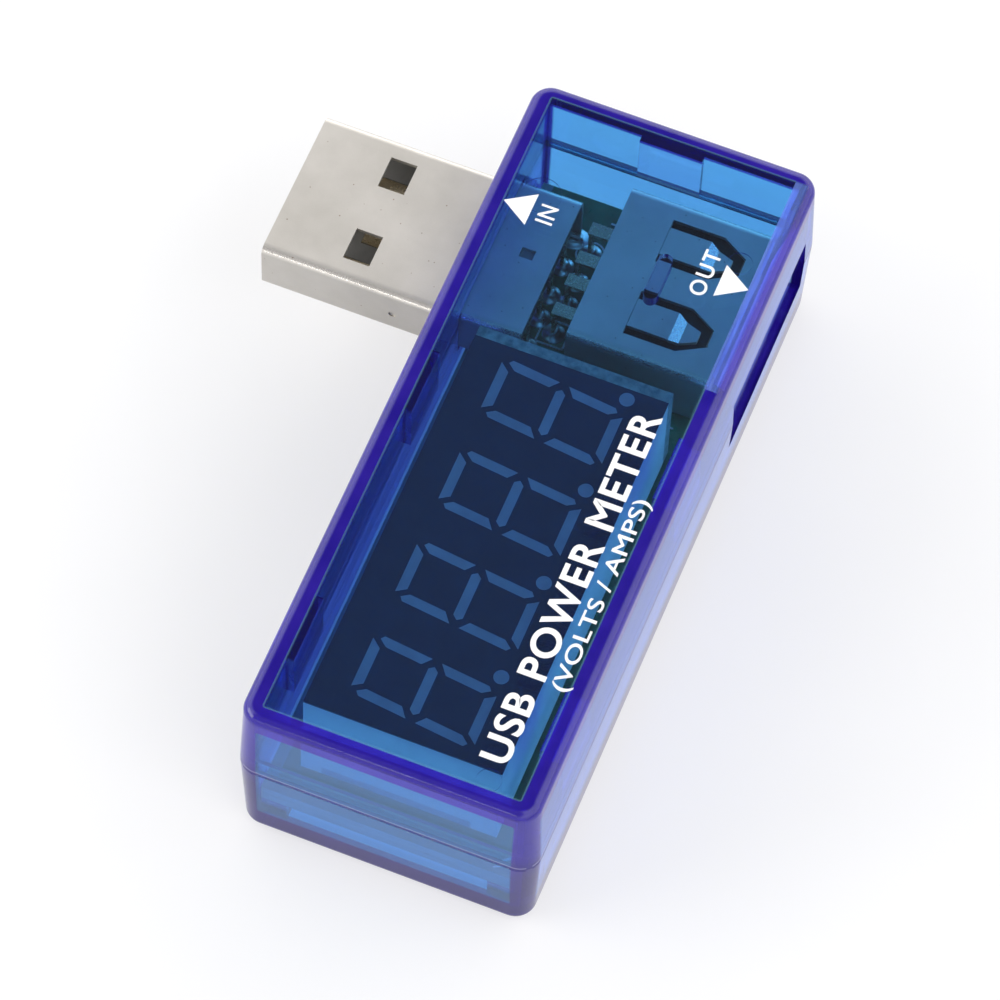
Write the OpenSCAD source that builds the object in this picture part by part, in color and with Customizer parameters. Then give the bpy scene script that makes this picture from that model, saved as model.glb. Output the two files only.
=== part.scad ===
// Inline power meter: a clear two-part case with a plug on one side, a socket on the other
// and a four-digit display under the top. +Z points up out of the display, +Y runs along the
// case towards the connectors, and the plug points to -X. The origin is the middle of the
// case's underside.

/* [Case] */
// Width of the case across the connectors, at its parting line
case_w = 21.3; // [20.6:0.1:22.4]
// Length of the case, at its parting line
case_l = 54; // [53:0.5:58]
// Height of the case
case_h = 15.4; // [15.2:0.1:16.4]
// Thickness of the side walls
wall = 1.4; // [1.2:0.1:1.5]
// Thickness of the top and the floor
skin = 1.4; // [1.0:0.1:1.4]
// Height of the parting line
part_z = 8.2; // [7.8:0.1:8.6]
// Inward draft of each half, from the parting line to its outer face
draft = 0.22; // [0.1:0.02:0.4]
// Radius of the upright corners
corner_r = 1.5; // [1.2:0.1:2]
// Radius of the edges round the top and the floor
edge_r = 0.85; // [0.5:0.05:1]

/* [Plug] */
// Position of the plug along the case
plug_y = 15.4; // [14.6:0.1:15.8]
// Height of the plug's centre line
plug_z = 8.1; // [7.9:0.1:8.3]
// Length of the plug that stands out of the case
plug_reach = 13.3; // [11:0.1:14]

/* [Socket] */
// Position of the socket along the case
socket_y = 17.1; // [16.6:0.1:17.3]
// Height of the socket's centre line
socket_z = 7.9; // [7.9:0.1:8.1]

/* [Display] */
// Position of the display's middle along the case
display_y = -8.6; // [-9:0.1:-8.4]
// Height of a digit
digit_h = 9.1; // [8:0.1:9.6]
// Lean of the digits in degrees
digit_lean = 6; // [0:1:12]

/* [Board] */
// Thickness of the circuit board
board_t = 1.6; // [1.2:0.1:1.6]
// Height of the circuit board's top face
board_top = 5; // [5:0.05:5.05]

/* [Hidden] */
$fn = 48;
eps = 0.01;

// Case
hull_fn = 40;
cavity_x = case_w / 2 - wall;
cavity_y = case_l / 2 - wall;
ceiling = case_h - skin;
seam_gap = 0.02;
lip_t = 0.6;
lip_h = 1.1;
lip_gap = 0.05;
rib_t = 0.6;
rib_l = 5;
rib_ys = [-18.8, 1.6];
rib_foot = part_z + lip_h + 0.2;
latch_w = 4.6;
latch_t = 0.45;
press_rib = [1, 3.8, 0.9];
ejector_depth = 0.08;
post = 1.8;

// Connectors, which are standard sizes
sheet = 0.3;
contact_ys = [-3.5, -1, 1, 3.5];
plug_w = 12;
plug_h = 4.5;
plug_r = 0.65;
plug_tip = -case_w / 2 - plug_reach;
plug_back = -4.8;
plug_tongue_h = 1.95;
plug_fit = 0.1;
window = [1.95, 2.55];
window_x = plug_tip + 6.4;
window_dy = 3.15;
plug_tail_x = -5.2;
plug_leg_x = -5.6;
plug_pit = [-14.2, 7.9, 0.28];
data_setback = 5.6;
power_setback = 1.3;
socket_w = 13.1;
socket_h = 5.7;
socket_back = -1.95;
socket_front = 8.55;
socket_r = 0.7;
socket_tail_x = -3.8;
socket_leg_x = 1.8;
leg_w = 1.5;
leg_foot = 2.6;
opening_w = 14.1;
opening_h = 5.6;
opening_z = 7.8;
spring_root = 1.6;
spring_dy = 3.1;
// Plan of a spring tongue and of the slot round it: half width, shoulder, front, half width there
spring_plan = [1.14, 4.7, 6.5, 0.42];
slot_plan = [1.82, 5.4, 7.33, 0.72];
tongue_t = 1.84;
tongue_w = 11.1;
tongue_front = 7.6;
block_front = 0.8;
contact_w = 1;
contact_t = 0.25;
contact_root = 1;
contact_z = socket_z + 0.3;
channel_top = socket_z + 1.15;

// Circuit board
board_bottom = board_top - board_t;
board_x = 9;
board_y = [-25.3, 24.9];
pin_hole_r = 0.5;

// Display
display_w = 14;
display_l = 30.2;
display_rim = 0.9;
display_foot = board_top + 0.7;
display_top = ceiling - 0.3;
mask_t = 0.15;
digit_w = 4.75;
digit_pitch = 7.6;
segment_w = 0.7;
point_r = 0.53;
point_shift = 2.88;
display_pin = 0.5;
display_row = 5.08;
display_pitch = 2.54;

// Parts under the board: [x, y] of each middle
mcu_at = [0, -9];
amp_at = [0, 3.5];
regulator_at = [5.8, 4.5];
shunt_at = [4.6, 14.8];
capacitor_ats = [[-7.2, 0.5], [-7.2, 3.5], [7.4, -1], [0, -19.5], [5.2, 9.3]];
resistor_ats = [[-3, -18], [3, -18], [-7.6, -10], [-7.6, -14], [7.6, -6], [7.6, -10], [7.6, -14],
    [-2.8, 8.4], [0, 8.4], [-7.2, 6.4]];
// Resistors on top of the board, between the display and the socket
top_resistor_ats = [[-3.2, 8.9], [-0.9, 8.9], [5.4, 8.9]];
capacitor = [2, 1.25, 0.9];
resistor = [1.6, 0.8, 0.45];
chip_cap = 0.3;
shunt = [3.2, 6.4, 0.6];
shunt_cap = 0.7;

// Ink
ink_t = 0.03;
arrow_l = 2.05;
arrow_w = 2.65;
arrow_in = [-8.97, 16.55];
arrow_out = [9, 16.2];

// ---- helpers ----

// A bar along +X from x0 to x1, centred on y and z, with round long edges
module round_bar(x0, x1, y, z, w, h, r) {
    translate([x0, y - w / 2 + r, z - h / 2]) cube([x1 - x0, w - 2 * r, h]);
    translate([x0, y - w / 2, z - h / 2 + r]) cube([x1 - x0, w, h - 2 * r]);
    for (sy = [-1, 1], sz = [-1, 1])
        translate([x0, y + sy * (w / 2 - r), z + sz * (h / 2 - r)])
            rotate([0, 90, 0]) cylinder(r = r, h = x1 - x0);
}

// A block centred on x and y that runs from z0 to z1
module block(at, size, z0, z1) {
    translate([at[0] - size[0] / 2, at[1] - size[1] / 2, z0]) cube([size[0], size[1], z1 - z0]);
}

// One half of the case as a solid block: the open end at z = 0, the outer face at z = h
module half_block(h) {
    hull() {
        for (sx = [-1, 1], sy = [-1, 1]) {
            translate([sx * (case_w / 2 - corner_r), sy * (case_l / 2 - corner_r), 0])
                cylinder(r = corner_r, h = eps, $fn = hull_fn);
            translate([sx * (case_w / 2 - draft - corner_r), sy * (case_l / 2 - draft - corner_r), h - edge_r])
                rotate_extrude($fn = hull_fn) intersection() {
                    translate([corner_r - edge_r, 0]) circle(r = edge_r, $fn = hull_fn);
                    translate([0, -corner_r]) square(2 * corner_r);
                }
        }
    }
}

// The space inside the case's walls, grown by g, from z0 to z1
module cavity(z0, z1, g = 0) {
    block([0, 0], [2 * (cavity_x + g), 2 * (cavity_y + g)], z0, z1);
}

// The openings for the plug and the socket, through the side walls
module connector_openings() {
    translate([-case_w, plug_y - plug_w / 2 - plug_fit, plug_z - plug_h / 2 - plug_fit])
        cube([case_w, plug_w + 2 * plug_fit, plug_h + 2 * plug_fit]);
    translate([eps, socket_y - opening_w / 2, opening_z - opening_h / 2])
        cube([case_w, opening_w, opening_h]);
}

// ---- case ----

module top_shell() {
    color([0.16, 0.38, 0.85, 0.45]) difference() {
        union() {
            difference() {
                translate([0, 0, part_z + seam_gap]) half_block(case_h - part_z - seam_gap);
                cavity(part_z - 1, ceiling);
                cavity(part_z - 1, part_z + lip_h + lip_gap, lip_t + lip_gap);
            }
            for (side = [-1, 1], y = rib_ys)
                block([side * (cavity_x - rib_t / 2 + eps), y], [rib_t + 2 * eps, rib_l], rib_foot, ceiling + eps);
            block([0, cavity_y - latch_t / 2 + eps], [latch_w, latch_t + 2 * eps], rib_foot, ceiling + eps);
            press_pad();
        }
        connector_openings();
        ejector_mark([-6.9, 18.4], 1.4);
        ejector_mark([7.6, 18.5], 0.85);
        ejector_mark([6.4, -24.6], 0.85);
    }
}

// A low pad with round ends under the ceiling, over the socket
module press_pad() {
    foot = ceiling - press_rib[2];
    straight = press_rib[1] - press_rib[0];
    block([2.8, 15.4], [press_rib[0], straight], foot, ceiling + eps);
    for (s = [-1, 1])
        translate([2.8, 15.4 + s * straight / 2, foot]) cylinder(d = press_rib[0], h = press_rib[2] + eps);
}

module ejector_mark(at, r) {
    translate([at[0], at[1], ceiling - eps]) cylinder(r = r, h = ejector_depth + eps);
}

module bottom_shell() {
    color([0.14, 0.34, 0.82, 0.45]) difference() {
        union() {
            difference() {
                translate([0, 0, part_z - seam_gap]) mirror([0, 0, 1]) half_block(part_z - seam_gap);
                cavity(skin, part_z + 1);
            }
            difference() {
                cavity(part_z - 1, part_z + lip_h, lip_t);
                cavity(part_z - 2, part_z + 2);
            }
            for (sx = [-1, 1], y = [board_y[0] + post / 2, board_y[1] - post / 2])
                block([sx * (board_x - post / 2), y], [post, post], skin - eps, board_bottom);
        }
        connector_openings();
    }
}

// ---- circuit board ----

module circuit_board() {
    color("darkgreen") difference() {
        translate([-board_x, board_y[0], board_bottom])
            cube([2 * board_x, board_y[1] - board_y[0], board_t]);
        translate([0, 0, board_bottom - 1]) {
            for (dy = contact_ys) {
                translate([plug_tail_x, plug_y + dy, 0]) cylinder(r = pin_hole_r, h = board_t + 2);
                translate([socket_tail_x, socket_y + dy, 0]) cylinder(r = pin_hole_r, h = board_t + 2);
            }
            display_pin_places() cylinder(r = pin_hole_r, h = board_t + 2);
        }
        for (s = [-1, 1]) {
            block([plug_leg_x, plug_y + s * (plug_w / 2 - sheet / 2)], [leg_w + 0.4, 0.8], 0, case_h);
            block([socket_leg_x, socket_y + s * (socket_w / 2 - sheet / 2)], [leg_w + 0.4, 0.8], 0, case_h);
        }
    }
}

// ---- plug ----

module plug_shell() {
    color("silver") {
        difference() {
            round_bar(plug_tip, plug_back, plug_y, plug_z, plug_w, plug_h, plug_r);
            round_bar(plug_tip - 1, plug_back + 1, plug_y, plug_z, plug_w - 2 * sheet, plug_h - 2 * sheet,
                plug_r - sheet);
            for (s = [-1, 1])
                block([window_x, plug_y + s * window_dy], window, 0, case_h);
            block([-6.8, plug_y + 0.4], [1, 0.8], plug_z, case_h);
            block([plug_back, plug_y], [2 * (plug_back - plug_tail_x) + 1, plug_w - 2 * plug_r], 0, plug_z);
            for (s = [-1, 1])
                translate([plug_pit[0], plug_y + s * plug_w / 2, plug_pit[1]])
                    rotate([90, 0, 0]) cylinder(r = plug_pit[2], h = 0.2, center = true);
        }
        for (s = [-1, 1])
            block([plug_leg_x, plug_y + s * (plug_w - sheet) / 2], [leg_w, sheet], leg_foot, plug_z);
    }
}

module plug_insulator() {
    slack = 0.05;
    inner_w = plug_w - 2 * (sheet + slack);
    inner_h = plug_h - 2 * (sheet + slack);
    foot = plug_z - inner_h / 2;
    top = foot + plug_tongue_h - slack;
    color([0.25, 0.25, 0.26]) difference() {
        union() {
            round_bar(plug_tip + 7.9, plug_tail_x - 0.2, plug_y, plug_z, inner_w, inner_h, plug_r - sheet - slack);
            translate([0, plug_y + inner_w / 2, 0]) rotate([90, 0, 0]) linear_extrude(inner_w)
                polygon([[plug_tip + 0.7, foot + 0.5], [plug_tip + 0.7, top - 0.3], [plug_tip + 1, top],
                    [plug_tip + 8, top], [plug_tip + 8, foot + 0.1], [plug_tip + 1.1, foot + 0.1]]);
        }
        for (dy = contact_ys)
            translate([plug_tip + 1.2, plug_y + dy - contact_w / 2 - slack, top - contact_t])
                cube([30, contact_w + 2 * slack, contact_t + slack]);
    }
}

// Each contact is a flat strip on the tongue with a tail down through the board
module plug_contacts() {
    slack = 0.05;
    top = plug_z - plug_h / 2 + sheet + plug_tongue_h;
    color("gold") for (dy = contact_ys) {
        front = plug_tip + (abs(dy) > 2 ? power_setback : data_setback);
        translate([front, plug_y + dy - contact_w / 2, top - contact_t + slack])
            cube([plug_tail_x + contact_t / 2 - front, contact_w, contact_t - slack]);
        block([plug_tail_x, plug_y + dy], [contact_t, 0.6], leg_foot, top - contact_t + 2 * slack);
    }
}

// ---- socket ----

// Outline of a spring tongue or its slot in the socket's top sheet, from its plan
module spring_outline(plan) {
    polygon([[spring_root, -plan[0]], [plan[1], -plan[0]], [plan[2], -plan[3]],
        [plan[2], plan[3]], [plan[1], plan[0]], [spring_root, plan[0]]]);
}

module socket_shell() {
    color("silver") {
        difference() {
            round_bar(socket_back, socket_front, socket_y, socket_z, socket_w, socket_h, socket_r);
            round_bar(socket_back - 1, socket_front + 1, socket_y, socket_z, socket_w - 2 * sheet,
                socket_h - 2 * sheet, socket_r - sheet);
            for (s = [-1, 1])
                translate([0, socket_y + s * spring_dy, socket_z]) linear_extrude(case_h)
                    spring_outline(slot_plan);
        }
        mouth_lips();
        for (s = [-1, 1])
            block([socket_leg_x, socket_y + s * (socket_w - sheet) / 2], [leg_w, sheet], leg_foot, socket_z);
    }
}

// Flared lips on the top and the sides of the socket's mouth
module mouth_lips() {
    reach = 0.5;
    flare = 0.3;
    lip = [[socket_front - eps, 0], [socket_front + reach, flare], [socket_front + reach, flare + sheet],
        [socket_front - eps, sheet]];
    top_w = socket_w - 2 * socket_r;
    side_h = socket_h - 2 * socket_r;
    translate([0, socket_y + top_w / 2, socket_z + socket_h / 2 - sheet])
        rotate([90, 0, 0]) linear_extrude(top_w) polygon(lip);
    for (s = [-1, 1])
        translate([0, socket_y, socket_z - side_h / 2]) mirror([0, (1 - s) / 2, 0])
            translate([0, socket_w / 2 - sheet, 0]) linear_extrude(side_h) polygon(lip);
}

module socket_insulator() {
    slack = 0.05;
    inner_w = socket_w - 2 * (sheet + slack);
    inner_h = socket_h - 2 * (sheet + slack);
    foot = socket_z + 0.1;
    color([0.25, 0.25, 0.26]) difference() {
        union() {
            round_bar(socket_back + 0.1, block_front, socket_y, socket_z, inner_w, inner_h,
                socket_r - sheet - slack);
            translate([0, socket_y + tongue_w / 2, 0]) rotate([90, 0, 0]) linear_extrude(tongue_w)
                polygon([[block_front - 0.5, foot], [tongue_front - 0.5, foot], [tongue_front, foot + 0.5],
                    [tongue_front, foot + tongue_t - 0.5], [tongue_front - 0.5, foot + tongue_t],
                    [block_front - 0.5, foot + tongue_t]]);
        }
        for (dy = contact_ys) {
            block([(block_front + tongue_front) / 2 - 0.1, socket_y + dy],
                [tongue_front - block_front - 0.6, contact_w + 0.3], foot - 1, channel_top);
            translate([-10, socket_y + dy - contact_w / 2 - slack, contact_z - slack])
                cube([10 + block_front + 0.3, contact_w + 2 * slack, contact_t + 2 * slack]);
        }
    }
}

// The fixed ends of the four contacts, from their roots to their tails in the board
module socket_terminals() {
    color("gold") for (dy = contact_ys) {
        translate([socket_tail_x - contact_t / 2, socket_y + dy - contact_w / 2, contact_z])
            cube([contact_root - 0.02 - socket_tail_x + contact_t / 2, contact_w, contact_t]);
        block([socket_tail_x, socket_y + dy], [contact_t, 0.6], leg_foot, contact_z + eps);
    }
}

// The springing end of a contact: down to a rubbing crest, then up to its tip
module contact_spring(n) {
    crest = [contact_root + 4.5, contact_z - 0.68];
    tip = [contact_root + 5.7, contact_z - 0.15];
    color("gold") translate([0, socket_y + contact_ys[n] + contact_w / 2, 0])
        rotate([90, 0, 0]) linear_extrude(contact_w)
            polygon([[contact_root, contact_z], [crest[0] - 0.3, crest[1]], [crest[0] + 0.3, crest[1]], tip,
                [tip[0] - 0.1, tip[1] + contact_t], [crest[0] + 0.25, crest[1] + contact_t],
                [crest[0] - 0.25, crest[1] + contact_t], [contact_root, contact_z + contact_t]]);
}

// A tongue of the socket's top sheet that grips the plug, bent down towards its tip
module retention_spring(side) {
    gap = 0.03;
    top = socket_z + socket_h / 2;
    bend = spring_plan[1] - 0.15;
    tip = spring_plan[2] + 1;
    dip = 0.45;
    color("silver") intersection() {
        translate([0, socket_y + side * spring_dy, 0]) linear_extrude(case_h) spring_outline(spring_plan);
        translate([0, socket_y + case_w / 2, 0]) rotate([90, 0, 0]) linear_extrude(case_w)
            polygon([[spring_root + gap, top - sheet], [bend, top - sheet], [bend + 0.8, top - sheet - dip],
                [tip, top - sheet - dip + 0.35], [tip, top - dip + 0.35],
                [bend + 0.8, top - dip], [bend + 0.1, top], [spring_root + gap, top]]);
    }
}

// ---- display ----

// Two rows of six pins
module display_pin_places() {
    for (side = [-1, 1], i = [-2.5 : 2.5])
        translate([side * display_row, display_y + i * display_pitch, 0]) children();
}

module display_housing() {
    far = display_y + display_l / 2 + display_rim;
    near = display_y - display_l / 2;
    color("whitesmoke") difference() {
        translate([-display_w / 2, near, display_foot])
            cube([display_w, far - near, display_top - mask_t - display_foot]);
        display_pin_places()
            translate([-display_pin / 2, -display_pin / 2, display_foot - 1])
                cube([display_pin, display_pin, 2]);
    }
}

// A point of a digit, u to the right and v up from its middle, leaning, turned so that the
// digit's top faces -X and the digits read towards +Y
function lean(p) = [-p[1], p[0] + p[1] * tan(digit_lean)];

// The seven bars and the point of a digit, flat. u and v are half the distances between the
// middle lines of the bars, and the mitred ends of the bars stand apart where they meet.
module digit_outline() {
    h = segment_w / 2;
    u = digit_w / 2 - h;
    v = digit_h / 2 - h;
    for (s = [-1, 1]) {
        polygon([for (c = [[0.1 - u, v + h], [u - 0.1, v + h], [u - 0.62, v - h], [0.62 - u, v - h]]) lean(s * c)]);
        for (t = [-1, 1])
            polygon([for (c = [[u - h, v - 0.68], [u + 0.06, v - 0.12], [u + h, v - h],
                [u + h, 0.34], [u - h, 0.9]]) lean([s * c[0], t * c[1]])]);
    }
    polygon([for (c = [[0.12 - u, 0], [0.4 - u, h], [u - 0.4, h], [u - 0.12, 0], [u - 0.4, -h], [0.4 - u, -h]])
        lean(c)]);
    translate([v + 0.1, point_shift]) circle(r = point_r);
}

module digit(n) {
    color("lightblue") translate([0, display_y + (n - 1.5) * digit_pitch, display_top - mask_t])
        linear_extrude(mask_t) digit_outline();
}

module display_mask() {
    color([0.08, 0.1, 0.2]) difference() {
        block([0, display_y], [display_w, display_l], display_top - mask_t, display_top);
        for (n = [0 : 3])
            translate([0, display_y + (n - 1.5) * digit_pitch, 0]) linear_extrude(case_h) digit_outline();
    }
}

module display_pins() {
    color("silver") display_pin_places()
        translate([-display_pin / 2, -display_pin / 2, board_bottom - 0.9])
            cube([display_pin, display_pin, display_foot + 1 - board_bottom + 0.9]);
}

// ---- parts on the board ----

// A moulded body under the board, size = [x, y, height], with a dot that marks pin 1
module ic_body(at, size) {
    top = board_bottom - 0.1;
    color([0.1, 0.1, 0.11]) difference() {
        block(at, size, top - size[2], top);
        translate([at[0] - size[0] / 2 + 0.8, at[1] + size[1] / 2 - 0.8, top - size[2] - eps])
            cylinder(r = 0.35, h = 0.08);
    }
}

// Bent leads on both long sides of a body: count a side, at a pitch
module ic_leads(at, size, count, pitch, lead_w) {
    t = 0.2;
    mid = board_bottom - 0.1 - size[2] / 2;
    edge = size[0] / 2;
    color("silver") for (s = [0, 1], i = [0 : count - 1])
        translate([at[0], at[1] + (i - (count - 1) / 2) * pitch, 0]) mirror([s, 0, 0])
            translate([0, lead_w / 2, 0]) rotate([90, 0, 0]) linear_extrude(lead_w)
                polygon([[edge, mid - t / 2], [edge + 0.4, mid - t / 2], [edge + 0.6, board_bottom - t],
                    [edge + 1.1, board_bottom - t], [edge + 1.1, board_bottom],
                    [edge + 0.4, board_bottom], [edge + 0.25, mid + t / 2], [edge, mid + t / 2]]);
}

mcu_size = [3.9, 9.9, 1.45];
amp_size = [3.9, 4.9, 1.4];
regulator_size = [4.5, 2.5, 1.5];

module microcontroller() ic_body(mcu_at, mcu_size);
module microcontroller_leads() ic_leads(mcu_at, mcu_size, 8, 1.27, 0.42);
module amplifier() ic_body(amp_at, amp_size);
module amplifier_leads() ic_leads(amp_at, amp_size, 4, 1.27, 0.42);

module voltage_regulator() {
    color([0.1, 0.1, 0.11])
        block(regulator_at, regulator_size, board_bottom - 0.4 - regulator_size[2] + 0.3, board_bottom - 0.4);
}

// Three leads on one side and a wide tab under the body
module regulator_leads() {
    t = 0.38;
    color("silver") {
        block([regulator_at[0], regulator_at[1] + 0.6], [1.7, 3.4], board_bottom - t, board_bottom);
        for (dx = [-1.5, 1.5])
            block([regulator_at[0] + dx, regulator_at[1] - 1.2], [0.45, 1.6], board_bottom - t, board_bottom);
    }
}

// The middle of a chip part between its two caps, which stand apart along its longer side
module chip_body(at, size, cap, z0) {
    long_y = size[1] > size[0];
    block(at, [size[0] - (long_y ? 0 : 2 * cap), size[1] - (long_y ? 2 * cap : 0)], z0, z0 + size[2]);
}

module chip_caps(at, size, cap, z0) {
    long_y = size[1] > size[0];
    for (s = [-1, 1])
        block(at + s * (long_y ? [0, (size[1] - cap) / 2] : [(size[0] - cap) / 2, 0]),
            long_y ? [size[0], cap] : [cap, size[1]], z0, z0 + size[2]);
}

module shunt_resistor() {
    color([0.12, 0.12, 0.13]) chip_body(shunt_at, shunt, shunt_cap, board_bottom - shunt[2]);
}

module chip_capacitors() {
    color("tan") for (at = capacitor_ats) chip_body(at, capacitor, chip_cap, board_bottom - capacitor[2]);
}

module chip_resistors() {
    color([0.12, 0.12, 0.13]) {
        for (at = resistor_ats) chip_body(at, resistor, chip_cap, board_bottom - resistor[2]);
        for (at = top_resistor_ats) chip_body(at, resistor, chip_cap, board_top);
    }
}

module chip_terminals() {
    color("silver") {
        chip_caps(shunt_at, shunt, shunt_cap, board_bottom - shunt[2]);
        for (at = capacitor_ats) chip_caps(at, capacitor, chip_cap, board_bottom - capacitor[2]);
        for (at = resistor_ats) chip_caps(at, resistor, chip_cap, board_bottom - resistor[2]);
        for (at = top_resistor_ats) chip_caps(at, resistor, chip_cap, board_top);
    }
}

// ---- ink on the top ----

// A flat arrow head with its tip at a point, pointing to -X or +X
module arrow(tip, dir) {
    translate([tip[0], tip[1], case_h]) linear_extrude(ink_t)
        polygon([[0, 0], [-dir * arrow_l, arrow_w / 2], [-dir * arrow_l, -arrow_w / 2]]);
}

module printed_arrows() {
    color("white") {
        arrow(arrow_in, -1);
        arrow(arrow_out, 1);
    }
}

top_shell();
bottom_shell();
circuit_board();
plug_shell();
plug_insulator();
plug_contacts();
socket_shell();
socket_insulator();
socket_terminals();
contact_spring(0);  // contact_spring_1
contact_spring(1);  // contact_spring_2
contact_spring(2);  // contact_spring_3
contact_spring(3);  // contact_spring_4
retention_spring(-1);  // retention_spring_1
retention_spring(1);  // retention_spring_2
display_housing();
display_mask();
display_pins();
digit(0);  // digit_1
digit(1);  // digit_2
digit(2);  // digit_3
digit(3);  // digit_4
microcontroller();
microcontroller_leads();
amplifier();
amplifier_leads();
voltage_regulator();
regulator_leads();
shunt_resistor();
chip_capacitors();
chip_resistors();
chip_terminals();
printed_arrows();
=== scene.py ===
import math
import random

import bmesh
import bpy
from mathutils import Matrix, Vector


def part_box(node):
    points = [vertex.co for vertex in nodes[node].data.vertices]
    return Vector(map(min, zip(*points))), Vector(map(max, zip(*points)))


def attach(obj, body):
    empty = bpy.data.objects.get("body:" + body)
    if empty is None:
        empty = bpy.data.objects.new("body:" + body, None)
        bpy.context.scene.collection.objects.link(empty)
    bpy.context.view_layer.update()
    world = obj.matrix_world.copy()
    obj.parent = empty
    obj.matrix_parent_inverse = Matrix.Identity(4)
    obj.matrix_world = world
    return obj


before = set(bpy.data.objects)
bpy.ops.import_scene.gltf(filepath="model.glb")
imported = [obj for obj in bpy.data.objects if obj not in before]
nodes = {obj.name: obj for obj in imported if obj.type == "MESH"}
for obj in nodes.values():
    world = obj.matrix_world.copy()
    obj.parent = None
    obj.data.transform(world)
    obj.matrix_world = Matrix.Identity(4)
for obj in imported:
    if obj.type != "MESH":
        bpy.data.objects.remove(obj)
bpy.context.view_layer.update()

MM = 0.001
BODY = "meter"

# ---------------------------------------------------------------------------
# Places in the frame that the details are built from
# ---------------------------------------------------------------------------
board_low, board_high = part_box("circuit_board")
plug_low, plug_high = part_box("plug_shell")
socket_low, socket_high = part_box("socket_shell")
ink_low, ink_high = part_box("printed_arrows")
mask_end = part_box("display_mask")[1].y
plug_y = (plug_low.y + plug_high.y) / 2
socket_y = (socket_low.y + socket_high.y) / 2

# ---------------------------------------------------------------------------
# Zones of the clear plastic
# ---------------------------------------------------------------------------
# Half sizes and middle height of a block: a wall that is seen edge on lies outside it
EDGE_FROM = Vector((9.0, 25.6, 5.55)) * MM
EDGE_MIDDLE = 8.15 * MM
# How far before and past that block's faces the painted violet comes in
EDGE_FADE = (0.1 * MM, 0.25 * MM)
# Half sizes past which a point is on the outer face of an upright wall
OUTER_FACE = Vector((10.35, 26.7, 0)) * MM
# Low and high corners of blocks that are mirrored in X and Y, where -1 is no limit; the ribs and posts in
# them get pale blue painted light
RIB_ZONE = (Vector((7.6, -1, 9.4)) * MM, Vector((9.2, 24.5, 13.9)) * MM)
POST_ZONE = (Vector((-1, -1, 1.5)) * MM, Vector((9.1, 25.45, 3.45)) * MM)
# The small rib under the top that presses on the socket, with painted violet on its upright faces: its
# middle and half sizes
PRESS_MIDDLE = Vector((2.8, 15.4, 0)) * MM
PRESS_HALF = Vector((0.8, 2.2, 0)) * MM
# A band of pale blue painted light in the rim beside the socket: its near end, its width and its inner side
BAND_START = 7.8 * MM
BAND_WIDTH = 0.8 * MM
BAND_INNER = 8.95 * MM
# Limits past which a face is the outer one, on the socket's side and at the near end, where blue painted
# light goes
FLANK_FACE = 10.1 * MM
FRONT_FACE = -26.5 * MM
# The parting line, and half the width of its groove at full and at no depth
SEAM_HEIGHT = 8.2 * MM
SEAM_HALF = (0.10 * MM, 0.24 * MM)
# The painted violet is deeper towards the foot, between these heights
FOOT_FADE = (6.5 * MM, 11.0 * MM)

# ---------------------------------------------------------------------------
# Zones of the board and the display
# ---------------------------------------------------------------------------
# Margin without solder mask along two of the board's edges, and its soft edge
BARE_MARGIN = 0.8 * MM
BARE_SOFT = 0.04 * MM
# Block at the foot of the display's near end that is coloured bluish grey, and its soft edge
NEAR_GREY_LOW = Vector((-5.5, -24.0, 5.0)) * MM
NEAR_GREY_HIGH = Vector((5.1, -23.6, 6.55)) * MM
NEAR_GREY_SOFT = 0.1 * MM
# Strip of rough resin at the display's far end, darkened by painted shade, from just inside the mask's edge
STRIP_FADE = (mask_end - 0.15 * MM, mask_end + 0.02 * MM)

# ---------------------------------------------------------------------------
# Colours of the clear plastic, with the light painted into it
# ---------------------------------------------------------------------------
BODY_DARK = (0.35, 0.89, 1.0)
BODY_LIGHT = (0.38, 0.92, 1.0)
# Violets painted where a wall is seen edge on, as painted light
EDGE_DARK = (0.022, 0.004, 0.42)
EDGE_LIGHT = (0.046, 0.015, 0.54)
# Pale blue painted on the left wall, the band, the posts and the ribs, as painted light
PAINTED_LIGHT_BLUE = (0.22, 0.36, 1.0)
# Blues painted on the outer faces at the socket's side and at the near end, as painted light
FLANK = (0.05, 0.22, 1.0)
FRONT = (0.05, 0.42, 1.0)
DYE = (0.62, 0.27, 0.93)
DYE_DENSITY = 290
# Share of the painted violet that stays clear, and shares of the flank and front that are diffuse painted
# light
EDGE_CLEAR = 0.55
FLANK_PAINTED_LIGHT = 0.30
FRONT_PAINTED_LIGHT = 0.14
# How much painted violet the groove takes beside a wall's edge, and how soon the whole is at full painted
# violet
GROOVE_VIOLET = 0.5
EDGE_GAIN = 1.7


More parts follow.
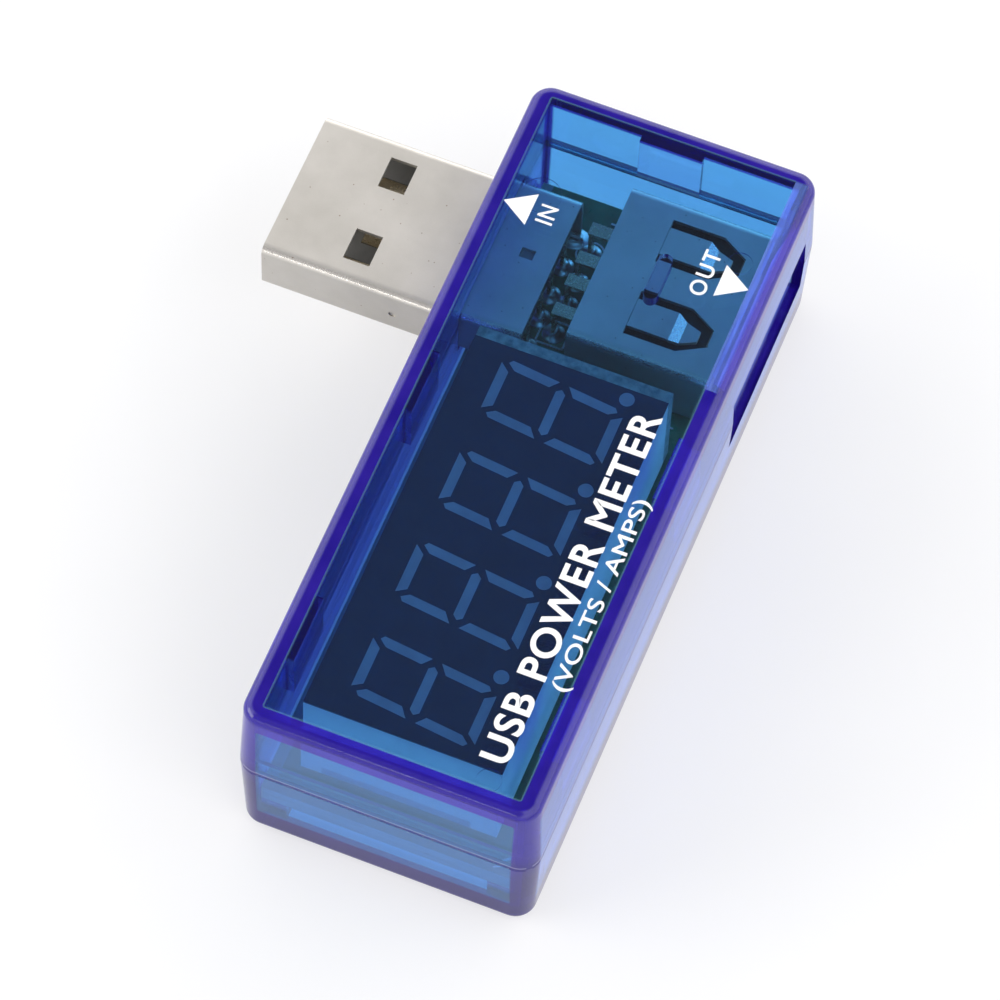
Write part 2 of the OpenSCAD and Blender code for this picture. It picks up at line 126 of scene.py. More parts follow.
# ---------------------------------------------------------------------------
# Node trees
# ---------------------------------------------------------------------------
class Tree:
    """Short calls that add nodes to a node tree. One that makes a value or a colour returns its output."""

    def __init__(self, tree):
        self.tree = tree

    def put(self, socket, value):
        """Links an input to an output, or sets it to a number, a vector or a colour."""
        if isinstance(value, bpy.types.NodeSocket):
            self.tree.links.new(value, socket)
        elif isinstance(value, tuple) and socket.type == "RGBA":
            socket.default_value = (*value, 1)
        else:
            socket.default_value = value

    def node(self, kind, settings=None, **sockets):
        """A new node, with its settings made and its inputs put in by name."""
        node = self.tree.nodes.new("ShaderNode" + kind)
        for key, value in (settings or {}).items():
            setattr(node, key, value)
        for key, value in sockets.items():
            self.put(node.inputs[key.replace("_", " ")], value)
        return node

    def math(self, operation, *values):
        node = self.node("Math", {"operation": operation})
        for socket, value in zip(node.inputs, values):
            self.put(socket, value)
        return node.outputs["Value"]

    def chain(self, operation, first, *others):
        """One operation over several values, such as the product of all of them."""
        result = first
        for other in others:
            result = self.math(operation, result, other)
        return result

    def product(self, *values):
        return self.chain("MULTIPLY", *values)

    def above(self, value, limit):
        return self.math("GREATER_THAN", value, limit)

    def below(self, value, limit):
        return self.math("LESS_THAN", value, limit)

    def away(self, value, middle=0.0):
        """The distance from a middle, which is never negative."""
        return self.math("ABSOLUTE", self.math("SUBTRACT", value, middle))

    def fade(self, value, start, end, first=0.0, last=1.0, smooth=False):
        """Goes from one level to another while a value goes from its start to its end."""
        kind = "SMOOTHSTEP" if smooth else "LINEAR"
        node = self.node("MapRange", {"interpolation_type": kind}, Value=value,
                         From_Min=start, From_Max=end, To_Min=first, To_Max=last)
        return node.outputs["Result"]

    def ramp(self, value, stops, easing="LINEAR"):
        node = self.node("ValToRGB", Fac=value)
        ramp = node.color_ramp
        ramp.interpolation = easing
        while len(ramp.elements) < len(stops):
            ramp.elements.new(0.5)
        for element, (at, level) in zip(ramp.elements, stops):
            colour = level if isinstance(level, tuple) else (level, level, level)
            element.position = at
            element.color = (*colour, 1)
        return node.outputs["Color"]

    def blend(self, factor, a, b, kind="MIX"):
        node = self.node("Mix", {"data_type": "RGBA", "blend_type": kind}, Factor=factor, A=a, B=b)
        return node.outputs["Result"]


class Shader(Tree):
    """The tree of a new material, which has a Principled BSDF."""

    def __init__(self, name, **sockets):
        self.material = bpy.data.materials.new(name)
        self.material.use_nodes = True
        super().__init__(self.material.node_tree)
        self.tree.nodes.clear()
        self.out = self.node("OutputMaterial")
        self.bsdf = self.node("BsdfPrincipled", **sockets)
        self.put(self.out.inputs["Surface"], self.bsdf.outputs["BSDF"])
        self.place = self.node("TexCoord")

    def finish(self, **sockets):
        """Puts in the surface's inputs by name, and returns the material."""
        for key, value in sockets.items():
            self.put(self.bsdf.inputs[key.replace("_", " ")], value)
        return self.material

    def split(self, output):
        """X, Y and Z of the position or the normal in the object's own space."""
        return self.node("SeparateXYZ", Vector=self.place.outputs[output]).outputs

    def noise(self, scale, detail=4, roughness=0.55, stretch=(1, 1, 1)):
        mapping = self.node("Mapping", Vector=self.place.outputs["Object"], Scale=stretch)
        node = self.node("TexNoise", Vector=mapping.outputs["Vector"], Scale=scale, Detail=detail,
                         Roughness=roughness)
        return node.outputs["Fac"]

    def specks(self, scale):
        return self.node("TexVoronoi", Vector=self.place.outputs["Object"], Scale=scale).outputs["Distance"]

    def cloud(self, scale, detail, low, high, between=(0.3, 0.7)):
        """A colour or level that drifts between two over the surface."""
        return self.ramp(self.noise(scale, detail=detail), [(between[0], low), (between[1], high)])

    def bump(self, height, strength, distance):
        return self.node("Bump", Height=height, Strength=strength, Distance=distance).outputs["Normal"]

    def absorb(self, colour, density):
        node = self.node("VolumeAbsorption", Color=colour, Density=density)
        self.put(self.out.inputs["Volume"], node.outputs["Volume"])


# ---------------------------------------------------------------------------
# Materials
# ---------------------------------------------------------------------------
def clear_blue():
    """Clear dyed plastic. Where a wall is seen edge on, a deep violet is painted in as painted light; pale
    blues painted on some walls and outer faces are painted light too.
    """
    s = Shader("clear_blue_plastic", IOR=1.49)
    place = s.split("Object")
    facing = s.split("Normal")
    by_socket = s.product(s.above(place["X"], 0), s.above(place["Y"], BAND_START))

    def within(low, high):
        """Is 1 inside a block that is mirrored about the case's middle planes in X and Y."""
        sizes = [s.away(place[axis]) for axis in "XYZ"]
        return s.product(*[s.above(size, limit) for size, limit in zip(sizes, low)],
                         *[s.below(size, limit) for size, limit in zip(sizes, high)])

    def edge_on(axis, away, inner):
        """Is 1 on faces along an axis that lie past the block's face on that axis."""
        depth = s.fade(away, inner - EDGE_FADE[0], inner + EDGE_FADE[1], smooth=True)
        return s.product(depth, s.math("SUBTRACT", 1, s.away(facing[axis])))

    def seam_groove():
        """Is 1 in the groove at the parting line, on the outer faces of the side walls."""
        line = s.fade(s.away(place["Z"], SEAM_HEIGHT), *SEAM_HALF, first=1.0, last=0.0, smooth=True)
        outer = [s.above(s.away(place[axis]), limit) for axis, limit in zip("XY", OUTER_FACE)]
        return s.product(line, s.math("MAXIMUM", *outer))

    def press_rib():
        """Is 1 on the upright faces of the rib that presses on the socket."""
        near = [s.below(s.away(place[axis], PRESS_MIDDLE[i]), PRESS_HALF[i]) for i, axis in enumerate("XY")]
        return s.product(*near, s.math("SUBTRACT", 1, s.away(facing["Z"])))

    groove = seam_groove()
    across = s.math("SUBTRACT", s.away(place["X"]), s.product(by_socket, BAND_WIDTH))
    # Painted light: violet on walls seen edge on, on the pressing rib and in the parting-line groove
    violet = s.chain("ADD", edge_on("X", across, EDGE_FROM.x),
                     edge_on("Y", s.away(place["Y"]), EDGE_FROM.y),
                     edge_on("Z", s.away(place["Z"], EDGE_MIDDLE), EDGE_FROM.z),
                     press_rib(), s.product(groove, GROOVE_VIOLET))
    edge = s.math("MINIMUM", s.product(violet, EDGE_GAIN), 1)

    # Painted light: pale blue on the left wall's inner face, the band beside the socket, the posts and the
    # ribs
    left_wall = s.product(s.above(facing["X"], 0.9), s.below(place["X"], 0))
    band = s.product(by_socket, s.above(place["X"], BAND_INNER), s.above(facing["Z"], 0.5))
    painted_light_zone = s.chain("MAXIMUM", left_wall, band, within(*POST_ZONE), within(*RIB_ZONE))
    # Painted light: diffuse blue on the outer faces at the socket's side and at the near end
    flank = s.product(s.above(facing["X"], 0.9), s.above(place["X"], FLANK_FACE))
    front = s.product(s.below(facing["Y"], -0.9), s.below(place["Y"], FRONT_FACE))

    body = s.cloud(120, 2, BODY_DARK, BODY_LIGHT)
    # The painted violet, darker towards the foot
    deep = s.node("VectorMath", {"operation": "SCALE"}, Vector=s.cloud(330, 4, EDGE_DARK, EDGE_LIGHT),
                  Scale=s.fade(place["Z"], *FOOT_FADE, first=0.5))
    colour = s.blend(painted_light_zone, body, PAINTED_LIGHT_BLUE)
    colour = s.blend(flank, colour, FLANK)
    colour = s.blend(front, colour, FRONT)
    colour = s.blend(edge, colour, deep.outputs["Vector"])

    # The pale blue painted light lies in streaks
    streaks = s.ramp(s.noise(700, detail=3, stretch=(1, 0.12, 1)), [(0.35, 0.16), (0.7, 0.50)])
    painted_face_light = s.math("ADD", s.product(flank, FLANK_PAINTED_LIGHT), s.product(front, FRONT_PAINTED_LIGHT))
    # The share of the surface that is painted light rather than clear
    painted_light_share = s.chain("MAXIMUM", s.product(edge, 1 - EDGE_CLEAR), s.product(painted_light_zone, streaks), painted_face_light)
    height = s.math("SUBTRACT", s.product(s.noise(170, detail=2), 0.1), groove)
    s.absorb(DYE, DYE_DENSITY)
    return s.finish(Base_Color=colour, Transmission_Weight=s.math("SUBTRACT", 1, painted_light_share),
                    Roughness=s.fade(s.noise(900, detail=5), 0, 1, 0.015, 0.05),
                    Normal=s.bump(height, 1.0, 0.08 * MM))


def nickel():
    """Satin plating, with painted shade that makes upright faces a little darker, and polished where the
    sheet is bent.
    """
    s = Shader("satin_nickel", Metallic=1.0)
    level = s.away(s.split("Normal")["Z"])
    grain = s.noise(9000, detail=6, roughness=0.7)
    colour = s.cloud(260, 5, (0.67, 0.635, 0.58), (0.77, 0.73, 0.675))
    spots = s.ramp(s.specks(1100), [(0.035, (0.46, 0.34, 0.24)), (0.065, (1.0, 1.0, 1.0))])
    # Painted shade: upright faces are darker
    shade = s.ramp(level, [(0.25, (0.80, 0.81, 0.82)), (0.6, (1.0, 1.0, 1.0))])
    polish = s.ramp(level, [(0.15, 1.0), (0.45, 0.50), (0.85, 0.50), (0.98, 1.0)])
    for layer in (spots, shade):
        colour = s.blend(1, colour, layer, "MULTIPLY")
    return s.finish(Base_Color=colour, Roughness=s.product(s.fade(grain, 0, 1, 0.46, 0.62), polish),
                    Normal=s.bump(grain, 0.22, 0.04 * MM))


def gold():
    s = Shader("gold_flash", Metallic=1.0)
    return s.finish(Base_Color=s.cloud(900, 4, (0.84, 0.72, 0.50), (0.94, 0.84, 0.64)),
                    Roughness=s.fade(s.noise(5000), 0, 1, 0.18, 0.34),
                    Normal=s.bump(s.noise(7000), 0.1, 0.02 * MM))


def bright_tin():
    s = Shader("tin", Metallic=1.0)
    return s.finish(Base_Color=s.cloud(1500, 4, (0.66, 0.66, 0.66), (0.80, 0.80, 0.79)),
                    Roughness=s.fade(s.noise(3000), 0, 1, 0.2, 0.42),
                    Normal=s.bump(s.noise(4000), 0.2, 0.03 * MM))


def moulded(name, low, high, rough, scale=1400):
    """A moulded or printed surface that varies a little in colour, gloss and height."""
    s = Shader(name)
    return s.finish(Base_Color=s.cloud(scale * 0.4, 5, low, high),
                    Roughness=s.fade(s.noise(scale), 0, 1, rough - 0.06, rough + 0.06),
                    Normal=s.bump(s.noise(scale * 3), 0.12, 0.02 * MM))


def board_green():
    """Green solder mask on the faces, and the paler glass fibre on sawn edges and the bare margins."""
    s = Shader("solder_mask")
    place = s.split("Object")
    masked = s.away(s.split("Normal")["Z"])
    for axis, edge in (("X", board_low.x), ("Y", board_low.y)):
        limit = edge + BARE_MARGIN
        masked = s.product(masked, s.fade(place[axis], limit - BARE_SOFT, limit + BARE_SOFT, first=0.15))
    weave = s.noise(2200, detail=3, stretch=(1, 0.35, 1))
    green = s.cloud(420, 6, (0.013, 0.170, 0.085), (0.024, 0.240, 0.125))
    fibre = s.ramp(s.noise(1500, detail=4, stretch=(0.2, 0.2, 3)),
                   [(0.3, (0.15, 0.34, 0.36)), (0.7, (0.25, 0.46, 0.50))])
    return s.finish(Base_Color=s.blend(masked, fibre, green), Roughness=s.fade(weave, 0, 1, 0.22, 0.38),
                    Normal=s.bump(weave, 0.15, 0.02 * MM))


def display_white():
    """White plastic, with a bluish grey block at the foot of its near end, and at its far end a strip of
    rough resin darkened by painted shade.
    """
    s = Shader("display_white")
    place = s.split("Object")
    sides = []
    for axis, low, high in zip("XYZ", NEAR_GREY_LOW, NEAR_GREY_HIGH):
        sides.append(s.fade(place[axis], low - NEAR_GREY_SOFT, low + NEAR_GREY_SOFT))
        sides.append(s.fade(place[axis], high - NEAR_GREY_SOFT, high + NEAR_GREY_SOFT, 1.0, 0.0))
    white = s.cloud(560, 5, (0.82, 0.82, 0.80), (0.88, 0.88, 0.86))
    # Rough resin colour for the far strip, darkened by painted shade
    rough = s.cloud(1900, 5, (0.16, 0.22, 0.21), (0.45, 0.52, 0.50), between=(0.35, 0.75))
    # A bluish grey block at the foot of the near end
    colour = s.blend(s.product(*sides), white, (0.25, 0.35, 0.48))
    colour = s.blend(s.fade(place["Y"], *STRIP_FADE), colour, rough)
    return s.finish(Base_Color=colour, Roughness=s.fade(s.noise(1400), 0, 1, 0.36, 0.48),
                    Normal=s.bump(s.noise(4200), 0.12, 0.02 * MM))


CLEAR = clear_blue()
NICKEL = nickel()
GOLD = gold()
TIN = bright_tin()
GREEN = board_green()
TRACK = moulded("mask_over_copper", (0.02, 0.20, 0.10), (0.03, 0.27, 0.13), 0.28)
INSULATOR = moulded("insulator_grey", (0.20, 0.20, 0.195), (0.26, 0.255, 0.245), 0.4)
SOCKET_BLACK = moulded("insulator_black", (0.012, 0.012, 0.014), (0.022, 0.022, 0.024), 0.45)
HOUSING = display_white()
MASK = moulded("display_black", (0.012, 0.024, 0.065), (0.018, 0.032, 0.080), 0.45)
RESIN = moulded("milky_resin", (0.33, 0.30, 0.37), (0.40, 0.37, 0.44), 0.5)
EPOXY = moulded("black_epoxy", (0.012, 0.012, 0.013), (0.03, 0.03, 0.032), 0.55, scale=2600)
CERAMIC = moulded("brown_ceramic", (0.30, 0.19, 0.10), (0.42, 0.28, 0.16), 0.4)
INK = moulded("white_ink", (0.86, 0.86, 0.86), (0.95, 0.95, 0.95), 0.5, scale=3000)

NODE_MATERIALS = {
    CLEAR: ["top_shell", "bottom_shell"],
    GREEN: ["circuit_board"],
    NICKEL: ["plug_shell", "socket_shell", "retention_spring_1", "retention_spring_2"],
    GOLD: ["plug_contacts", "socket_terminals"] + [f"contact_spring_{i}" for i in range(1, 5)],
    INSULATOR: ["plug_insulator"],
    SOCKET_BLACK: ["socket_insulator"],
    HOUSING: ["display_housing"],
    MASK: ["display_mask"],
    RESIN: [f"digit_{i}" for i in range(1, 5)],
    EPOXY: ["microcontroller", "amplifier", "voltage_regulator", "chip_resistors", "shunt_resistor"],
    TIN: ["display_pins", "microcontroller_leads", "amplifier_leads", "regulator_leads", "chip_terminals"],
    CERAMIC: ["chip_capacitors"],
    INK: ["printed_arrows"],
}
for material, names in NODE_MATERIALS.items():
    for name in names:
        mesh = nodes[name].data
        mesh.materials.clear()
        mesh.materials.append(material)


def smooth_shell(node, angle):
    """Shades a faceted node as smooth between its sharp edges, without moving a vertex."""
    mesh = node.data
    custom = mesh.attributes.get("custom_normal")
    if custom is not None:
        mesh.attributes.remove(custom)
    mesh.polygons.foreach_set("use_smooth", [True] * len(mesh.polygons))
    weld = node.modifiers.new("weld", "WELD")
    weld.merge_threshold = 1e-6
    split = node.modifiers.new("split", "EDGE_SPLIT")
    split.split_angle = math.radians(angle)
    split.use_edge_sharp = False
    weighted = node.modifiers.new("weighted", "WEIGHTED_NORMAL")
    weighted.weight = 80


for name in ("top_shell", "bottom_shell"):
    smooth_shell(nodes[name], 32)


# ---------------------------------------------------------------------------
# Mesh helpers
# ---------------------------------------------------------------------------
def piece(name, bm, material, body=BODY):
    """Makes an object of a bmesh, which rides on a CAD body."""
    bmesh.ops.remove_doubles(bm, verts=bm.verts, dist=1e-7)
    bmesh.ops.recalc_face_normals(bm, faces=bm.faces)
    mesh = bpy.data.meshes.new(name)
    bm.to_mesh(mesh)
    bm.free()
    mesh.materials.append(material)
    obj = bpy.data.objects.new(name, mesh)
    bpy.context.scene.collection.objects.link(obj)
    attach(obj, body)
    return obj


def circle(bm, centre, radius, height, steps, stretch=(1, 1)):
    """The vertices of a level circle about (x, y), or of an ellipse where it is stretched."""
    turns = [2 * math.pi * i / steps for i in range(steps)]
    return [bm.verts.new((centre[0] + radius * stretch[0] * math.cos(turn),
                          centre[1] + radius * stretch[1] * math.sin(turn), height)) for turn in turns]


def lathe(bm, centre, profile, stretch=(1, 1), steps=20):
    """Turns a profile of (radius, height) about the upright through a point, from axis to axis."""
    rings = []
    for radius, height in profile:
        if radius == 0:
            rings.append([bm.verts.new((centre[0], centre[1], centre[2] + height))])
        else:
            rings.append(circle(bm, centre, radius, centre[2] + height, steps, stretch))
    for a, b in zip(rings, rings[1:]):
        for i in range(steps):
            j = (i + 1) % steps
            if len(a) == 1:
                bm.faces.new((a[0], b[i], b[j])).smooth = True
            elif len(b) == 1:
                bm.faces.new((a[i], b[0], a[j])).smooth = True
            else:
                bm.faces.new((a[i], b[i], b[j], a[j])).smooth = True


def slab(bm, outline, low, high):
    """A flat plate of an outline of (x, y) points, from one height to another."""
    foot = [bm.verts.new((x, y, low)) for x, y in outline]
    head = [bm.verts.new((x, y, high)) for x, y in outline]
    bm.faces.new(head)
    bm.faces.new(list(reversed(foot)))
    count = len(outline)
    for i in range(count):
        j = (i + 1) % count
        bm.faces.new((foot[i], foot[j], head[j], head[i]))


def arc(centre, radius, start, end, steps):
    """Points of an arc between two angles in degrees."""
    return [(centre[0] + radius * math.cos(math.radians(start + (end - start) * i / steps)),
             centre[1] + radius * math.sin(math.radians(start + (end - start) * i / steps)))
            for i in range(steps + 1)]


def stroke(bm, points, width, low, high):
    """A printed line along points: each stretch is a plate with round ends."""
    for (ax, ay), (bx, by) in zip(points, points[1:]):
        heading = math.degrees(math.atan2(by - ay, bx - ax))
        outline = arc((ax, ay), width / 2, heading + 90, heading + 270, 6) \
            + arc((bx, by), width / 2, heading - 90, heading + 90, 6)
        slab(bm, outline, low, high)


def ring(bm, centre, radius, width, low, high, steps=28):
    """A printed circle: a flat ring of a line's width, from one height to another."""
    inner, outer = radius - width / 2, radius + width / 2
    corners = ((inner, low), (outer, low), (outer, high), (inner, high))
    loops = [circle(bm, centre, r, z, steps) for r, z in corners]
    for a, b in zip(loops, loops[1:] + loops[:1]):
        for i in range(steps):
            j = (i + 1) % steps
            bm.faces.new((a[i], a[j], b[j], b[i]))


def tails(node, reach=0.1 * MM):
    """The middle of the lowest end of each loose part of a node, as (x, y)."""
    bm = bmesh.new()
    bm.from_mesh(nodes[node].data)
    bmesh.ops.remove_doubles(bm, verts=bm.verts, dist=1e-6)
    bm.verts.ensure_lookup_table()
    seen, ends = set(), []
    for vert in bm.verts:
        if vert.index in seen:
            continue
        part, queue = [], [vert]
        seen.add(vert.index)
        while queue:
            v = queue.pop()
            part.append(v.co.copy())
            for edge in v.link_edges:
                w = edge.other_vert(v)
                if w.index not in seen:
                    seen.add(w.index)
                    queue.append(w)
        foot = min(p.z for p in part)
        low = [p for p in part if p.z < foot + reach]
        ends.append(((min(p.x for p in low) + max(p.x for p in low)) / 2,
                     (min(p.y for p in low) + max(p.y for p in low)) / 2))
    bm.free()
    return sorted(ends, key=lambda e: (round(e[0], 5), round(e[1], 5)))


# ---------------------------------------------------------------------------
# Solder, copper and silk on the board
# ---------------------------------------------------------------------------
board_top = board_high.z
board_under = board_low.z
plug_tails = tails("plug_contacts")
socket_tails = tails("socket_terminals")
display_tails = tails("display_pins")

FILM = 0.02 * MM
COPPER = 0.012 * MM
SILK_LINE = 0.15 * MM
TRACK_WIDTH = 0.32 * MM
PLUG_LEG_X = -5.6 * MM
SOCKET_LEG_X = 1.8 * MM
LEG_INSET = 0.45 * MM
RESISTOR_ROW = 8.9 * MM


def fillet(rise, foot=0.85 * MM, neck=0.36 * MM, flat=0.05 * MM):
    """Profile of a concave solder cone, closed on the axis at both ends."""
    base = [(0, 0), (foot * 1.04, 0), (foot * 1.02, flat * 0.6)]
    curve = [(neck + (foot - neck) * (1 - t) ** 2.2, flat + (rise - flat) * t)
             for t in (0, 0.15, 0.35, 0.6, 0.85, 1)]
    return base + curve + [(neck * 0.5, rise * 1.04), (0, rise * 1.04)]


def hanging(profile):
    """The same profile upside down."""
    return [(radius, -height) for radius, height in profile]


def solder_joints():
    """A cone round each tail under the board, and round the connectors' tails on top of it."""
    bm = bmesh.new()
    for x, y in plug_tails + socket_tails + display_tails:
        lathe(bm, (x, y, board_under), hanging(fillet(0.62 * MM)))
    piece("solder_under", bm, TIN)
    bm = bmesh.new()
    for x, y in plug_tails + socket_tails:
        lathe(bm, (x, y, board_top), fillet(0.5 * MM, foot=0.8 * MM))
    piece("solder_top", bm, TIN)


def leg_solder():
    """Long fillets round the shells' board legs, above and below the board."""
    bm = bmesh.new()
    plug_half = (plug_high.y - plug_low.y) / 2
    socket_half = (socket_high.y - socket_low.y) / 2 - LEG_INSET
    under = hanging(fillet(0.7 * MM, 1.1 * MM, 0.6 * MM))
    over = fillet(0.35 * MM, 1.1 * MM, 0.62 * MM)
    for x, middle, half in ((PLUG_LEG_X, plug_y, plug_half), (SOCKET_LEG_X, socket_y, socket_half)):
        for y in (middle - half, middle + half):
            lathe(bm, (x, y, board_under), under, (1.35, 0.8))
            lathe(bm, (x, y, board_top), over, (1.4, 0.85))
    piece("leg_solder", bm, TIN)


def frame_line(bm, x0, y0, x1, y1, low, high):
    """A printed rectangle."""
    corners = [(x0, y0), (x1, y0), (x1, y1), (x0, y1), (x0, y0)]
    stroke(bm, corners, SILK_LINE, low, high)


def silk_top():
    """A ring and a square round the socket's end pins, two corner lines and the resistors' sides."""
    bm = bmesh.new()
    low, high = board_top, board_top + FILM
    mark = 1.0 * MM
    ring(bm, socket_tails[-1], mark, SILK_LINE, low, high)
    x, y = socket_tails[0]
    frame_line(bm, x - mark, y - mark, x + mark, y + mark, low, high)
    far = socket_tails[-1][1] + 2.9 * MM
    corner = [(-2.3 * MM, far - 0.9 * MM), (-2.3 * MM, far), (-3.3 * MM, far)]
    edge = board_high.x - 0.5 * MM
    side = [(edge, 8.0 * MM), (edge, -24.2 * MM), (edge - 1.0 * MM, -24.8 * MM)]
    for points in (corner, side):
        stroke(bm, points, SILK_LINE, low, high)
    for x in (-3.2 * MM, -0.9 * MM, 5.4 * MM):
        for y in (RESISTOR_ROW - 0.75 * MM, RESISTOR_ROW + 0.75 * MM):
            stroke(bm, [(x - 1.1 * MM, y), (x + 1.1 * MM, y)], SILK_LINE, low, high)
    piece("silk_top", bm, INK)


def silk_under():
    """A line round each large part under the board."""
    bm = bmesh.new()
    margins = {"microcontroller": 0.25 * MM, "amplifier": 0.25 * MM, "shunt_resistor": 1.0 * MM}
    for name, margin in margins.items():
        a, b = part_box(name)
        low, high = board_under - FILM, board_under
        frame_line(bm, a.x - margin, a.y - margin, b.x + margin, b.y + margin, low, high)
    piece("silk_under", bm, INK)


def tracks_under():
    """Copper under the solder mask: from the display's pins and the tails, and six lines along the board."""
    rng = random.Random(7)
    inner = 3.4 * MM
    low, high = board_under - COPPER, board_under
    bm = bmesh.new()
    for x, y in display_tails:
        side = math.copysign(1, x)
        bend = y + rng.uniform(-0.8, 0.8) * MM
        stroke(bm, [(x, y), (x - side * 0.8 * MM, bend), (side * inner, bend)], TRACK_WIDTH, low, high)
    for x, y in socket_tails + plug_tails:
        aside = x - 0.6 * MM
        stroke(bm, [(x, y), (aside, y - 0.7 * MM), (aside, y - 2.2 * MM)], TRACK_WIDTH * 1.6, low, high)
    for i in range(6):
        x = (-8.2 + 0.55 * i) * MM
        near, turn = (-23.5 + 1.1 * i) * MM, (6.5 - 0.9 * i) * MM
        points = [(x, near), (x, turn), (x + 1.4 * MM, turn + 1.5 * MM)]
        stroke(bm, points, TRACK_WIDTH, low, high)
    piece("tracks_under", bm, TRACK)


def tracks_top():
    """Four lines between the connectors, and a wide one along the board."""
    low, high = board_top, board_top + COPPER
    bm = bmesh.new()
    for i in range(4):
        x = (-3.4 + 1.4 * i) * MM
        points = [(x, 6.0 * MM), (x, 10.2 * MM), (x + 1.2 * MM, 11.6 * MM)]
        stroke(bm, points, TRACK_WIDTH * 1.5, low, high)
    long_line = [(8.1 * MM, -24.0 * MM), (8.1 * MM, 7.0 * MM), (6.6 * MM, 9.6 * MM)]
    stroke(bm, long_line, TRACK_WIDTH * 2, low, high)
    piece("tracks_top", bm, TRACK)


solder_joints()
leg_solder()
silk_top()
silk_under()
tracks_under()
tracks_top()


# ---------------------------------------------------------------------------
# Printed words on the top
# ---------------------------------------------------------------------------
# How much farther than an edge a sharp corner may move when letters are made bolder
LONGEST_MITRE = 1.8
# The printed layer's height, as a share of the arrows' height
INK_SHARE = 0.9


def embolden(bm, weight):
    """Moves the outline of a flat mesh outwards, square to its own edges."""
    moves = []
    for vert in bm.verts:
        rim = [edge for edge in vert.link_edges if edge.is_boundary]
        if len(rim) != 2:
            continue
        outward = []
        for edge in rim:
            along = (edge.verts[1].co - edge.verts[0].co).normalized()
            across = Vector((along.y, -along.x, 0))
            middle = (edge.verts[0].co + edge.verts[1].co) / 2
            if across.dot(edge.link_faces[0].calc_center_median() - middle) > 0:
                across = -across
            outward.append(across)
        bisector = (outward[0] + outward[1]).normalized()
        reach = min(1 / max(bisector.dot(outward[0]), 0.1), LONGEST_MITRE)
        moves.append((vert, bisector * reach * weight))
    for vert, move in moves:
        vert.co += move


def printed(name, words, cap, start, length, weight, spacing):
    """Words that read towards +Y with their feet to +X. Start is the foot of the first letter, cap the
    words' height and length their length. Weight is in parts of the letters' own unit."""
    curve = bpy.data.curves.new(name, "FONT")
    curve.body = words
    curve.space_character = spacing
    curve.resolution_u = 6
    curve.fill_mode = "FRONT"
    flat = bpy.data.objects.new(name, curve)
    bpy.context.scene.collection.objects.link(flat)
    bpy.context.view_layer.update()
    depsgraph = bpy.context.evaluated_depsgraph_get()
    mesh = bpy.data.meshes.new_from_object(flat.evaluated_get(depsgraph))
    bpy.data.objects.remove(flat)
    bm = bmesh.new()
    bm.from_mesh(mesh)
    bpy.data.meshes.remove(mesh)
    bmesh.ops.remove_doubles(bm, verts=bm.verts, dist=1e-5)
    embolden(bm, weight)
    xs = [v.co.x for v in bm.verts]
    ys = [v.co.y for v in bm.verts]
    left, foot = min(xs), min(ys)
    across = length / (max(xs) - left)
    upright = cap / (max(ys) - foot)
    for v in bm.verts:
        v.co = (start[0] - (v.co.y - foot) * upright, start[1] + (v.co.x - left) * across, ink_low.z)
    raised = bmesh.ops.extrude_face_region(bm, geom=list(bm.faces))
    lifted = [part for part in raised["geom"] if isinstance(part, bmesh.types.BMVert)]
    bmesh.ops.translate(bm, verts=lifted, vec=(0, 0, (ink_high.z - ink_low.z) * INK_SHARE))
    return piece(name, bm, INK)


# Each piece's name and words, then height, start, length, weight and letter spacing
printed("word_in", "IN", 1.22 * MM, (-5.2 * MM, 15.83 * MM), 1.45 * MM, 0.012, 1.1)
printed("word_out", "OUT", 1.2 * MM, (6.4 * MM, 14.5 * MM), 3.7 * MM, 0.012, 1.2)
printed("words_name", "USB POWER METER", 2.05 * MM, (7.3 * MM, -23.6 * MM), 28.2 * MM, 0.021, 1.1)
printed("words_units", "(VOLTS / AMPS)", 1.45 * MM, (9.15 * MM, -17.2 * MM), 15.4 * MM, 0.008, 1.05)


# ---------------------------------------------------------------------------
# Camera, floor and light
# ---------------------------------------------------------------------------
CAMERA_AZIMUTH = 19.18
CAMERA_ELEVATION = 60.44
CAMERA_ROLL = 2.94
CAMERA_DISTANCE = 413.5 * MM
CAMERA_TARGET = Vector((-3.06, 1.97, 1.63)) * MM
LENS = 216
SENSOR = 36
FLOOR_HALF = 1.5
FLOOR_DROP = 0.1 * MM
FLOOR_GLOW = 0.50
RING_STRENGTH = 2.15
# Azimuth and elevation of the dim patches in the ring of light, in degrees
OVERHEAD = (199, 78)
AHEAD = (350, 34)


def direction(azimuth, elevation):
    """The unit vector from the object towards a viewer at that azimuth and elevation."""
    a, e = math.radians(azimuth), math.radians(elevation)
    return Vector((math.sin(a) * math.cos(e), -math.cos(a) * math.cos(e), math.sin(e)))


def aim(obj, target, back, distance, roll=0.0):
    """Puts a camera or light at a distance from a target, looking at it, and rolls it in degrees."""
    obj.location = target + back * distance
    turn = (-back).to_track_quat("-Z", "Y")
    obj.rotation_mode = "QUATERNION"
    obj.rotation_quaternion = turn @ Matrix.Rotation(math.radians(roll), 3, "Z").to_quaternion()


def camera():
    """A long lens that looks steeply down at the meter, from its near end."""
    data = bpy.data.cameras.new("camera")
    data.sensor_width = SENSOR
    data.lens = LENS
    data.clip_start = 0.01
    data.clip_end = 10
    obj = bpy.data.objects.new("camera", data)
    bpy.context.scene.collection.objects.link(obj)
    back = direction(CAMERA_AZIMUTH, CAMERA_ELEVATION)
    aim(obj, CAMERA_TARGET, back, CAMERA_DISTANCE, CAMERA_ROLL)
    bpy.context.scene.camera = obj


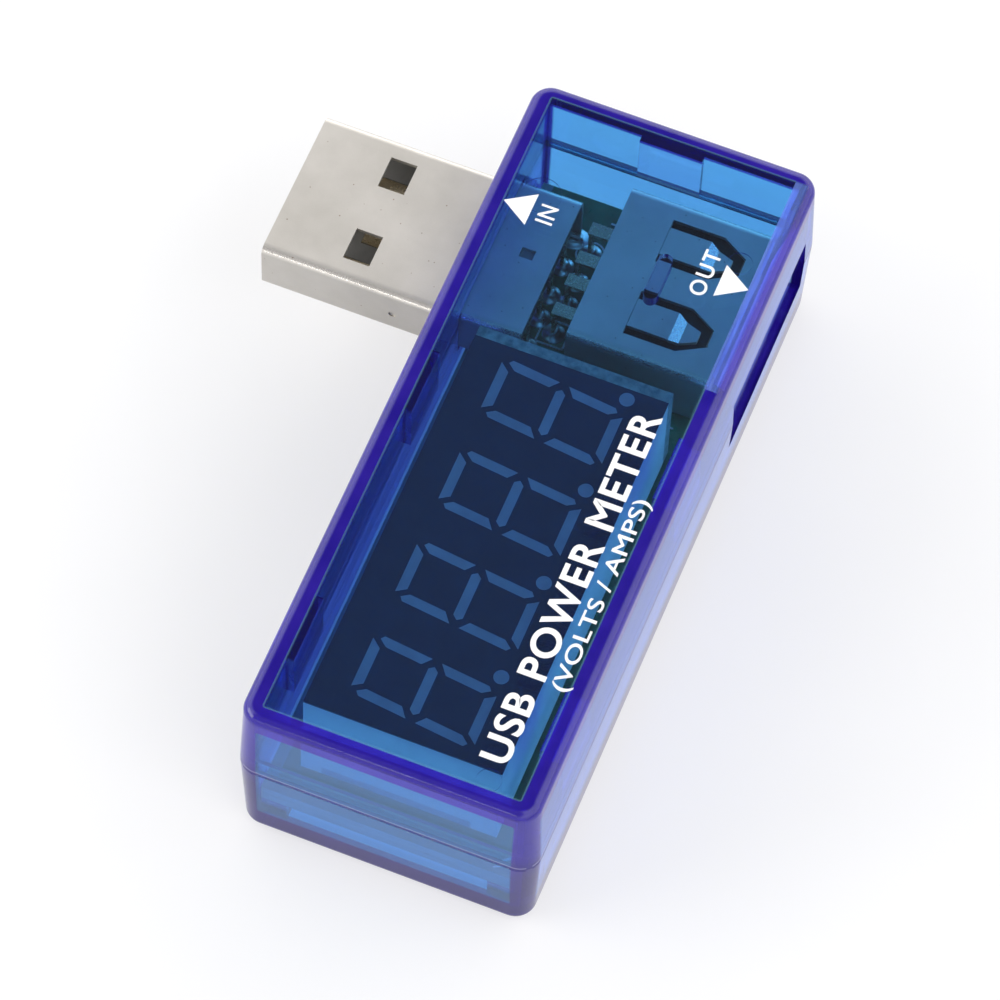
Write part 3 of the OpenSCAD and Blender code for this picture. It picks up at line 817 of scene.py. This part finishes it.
def floor():
    """A pale floor with a glow of its own, just under the meter."""
    bm = bmesh.new()
    bmesh.ops.create_grid(bm, x_segments=24, y_segments=24, size=FLOOR_HALF)
    mesh = bpy.data.meshes.new("floor")
    bm.to_mesh(mesh)
    bm.free()
    pale = Shader("pale_floor", Emission_Strength=FLOOR_GLOW, Emission_Color=(1.0, 0.995, 0.99),
                  Specular_IOR_Level=0.1)
    mesh.materials.append(pale.finish(Base_Color=pale.cloud(30, 3, (0.45, 0.45, 0.454), (0.48, 0.48, 0.484)),
                                      Roughness=pale.fade(pale.noise(300), 0, 1, 0.6, 0.8)))
    obj = bpy.data.objects.new("floor", mesh)
    obj.location.z = -FLOOR_DROP
    bpy.context.scene.collection.objects.link(obj)


def softbox(name, azimuth, elevation, distance, size, power):
    """A rectangle of light that faces the meter."""
    data = bpy.data.lights.new(name, "AREA")
    data.shape = "RECTANGLE"
    data.size, data.size_y = size
    data.energy = power
    obj = bpy.data.objects.new(name, data)
    bpy.context.scene.collection.objects.link(obj)
    aim(obj, Vector((0, 0, 0)), direction(azimuth, elevation), distance)


def sky():
    """A bright, even ring of studio light, with a dim patch overhead, which the top face mirrors, and
    a fainter one ahead, which keeps the near rim dark."""
    world = bpy.data.worlds.new("studio")
    bpy.context.scene.world = world
    world.use_nodes = True
    ring_light = Tree(world.node_tree)
    place = ring_light.node("TexCoord").outputs["Generated"]

    def patch(towards, outer, inner, bright, dim):
        """Goes from bright to dim between two cosines of the angle from a direction."""
        dot = ring_light.node("VectorMath", {"operation": "DOT_PRODUCT"})
        ring_light.put(dot.inputs[0], place)
        ring_light.put(dot.inputs[1], direction(*towards))
        return ring_light.ramp(dot.outputs["Value"], [(outer, bright), (inner, dim)], "EASE")

    overhead = patch(OVERHEAD, 0.66, 0.90, (0.99, 0.99, 0.99), (0.10, 0.105, 0.115))
    ahead = patch(AHEAD, 0.74, 0.90, (1.0, 1.0, 1.0), (0.26, 0.26, 0.27))
    background = world.node_tree.nodes["Background"]
    ring_light.put(background.inputs["Color"], ring_light.blend(1, overhead, ahead, "MULTIPLY"))
    ring_light.put(background.inputs["Strength"], RING_STRENGTH)


camera()
floor()
sky()
softbox("left", 300, 18, 1.0, (0.7, 0.4), 3.0)
softbox("strip", 352, 13, 1.2, (0.6, 0.05), 0.8)

scene = bpy.context.scene
scene.view_settings.view_transform = "Standard"
scene.cycles.max_bounces = 24
scene.cycles.transmission_bounces = 24
scene.cycles.transparent_max_bounces = 16
